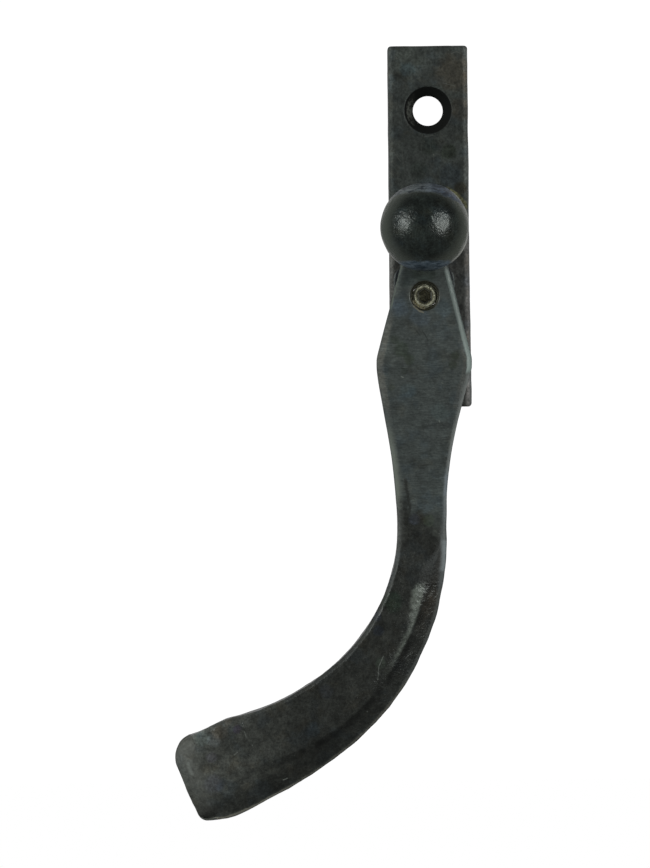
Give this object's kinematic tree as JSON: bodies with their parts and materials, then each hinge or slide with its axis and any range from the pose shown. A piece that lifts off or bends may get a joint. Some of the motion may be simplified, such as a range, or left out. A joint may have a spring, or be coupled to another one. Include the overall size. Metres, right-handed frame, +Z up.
{
  "type": "espagnolette window handle",
  "caption": "Forged window handle: a lever with a widening curved grip and a ball knob turns a square spindle on a narrow screw-fixed backplate, with a locking set screw.",
  "frame": {"origin": "on the spindle's axis, in the plane of the backplate's back face", "axes": "+Z up along the backplate, towards the upper fixing hole; +Y along the spindle, into the window; the front faces -Y; the grip curves towards -X"},
  "size_m": [0.074, 0.0705, 0.192],
  "materials": {
    "forged_plate": "black beeswaxed forged steel, flat and lightly worn",
    "forged_lever": "black beeswaxed forged steel, satin, with fine scratches on the flat head and a hammered grip",
    "forged_ball": "black beeswaxed forged steel, hammered",
    "forged_lug": "black beeswaxed forged steel, rough",
    "turned_steel": "turned steel, blackened and waxed",
    "zinc_steel": "bright zinc-plated steel",
    "spring_steel": "oiled spring steel",
    "set_screw": "yellow passivated set screw, dull in its socket",
    "brass": "plain brass"
  },
  "bodies": {
    "plate": {"backplate": "forged_plate", "front_washer": "brass", "spring_washer": "spring_steel"},
    "handle": {"lever": "forged_lever", "ball_knob": "forged_ball", "pivot_hub": "turned_steel", "spindle": "zinc_steel", "spindle_pin": "spring_steel", "back_washer": "zinc_steel", "snap_ring": "spring_steel", "locking_lug": "forged_lug"},
    "screw": {"locking_screw": "set_screw"}
  },
  "joints": [
    {"name": "lever_turn", "type": "hinge", "parent": "plate", "child": "handle", "pos_m": [0, 0, 0], "axis": [0, 1, 0], "range_deg": [0, 90]},
    {"name": "screw_travel", "type": "slide", "parent": "handle", "child": "screw", "axis": [0, 1, 0], "range_m": [0, 0.0045]}
  ]
}
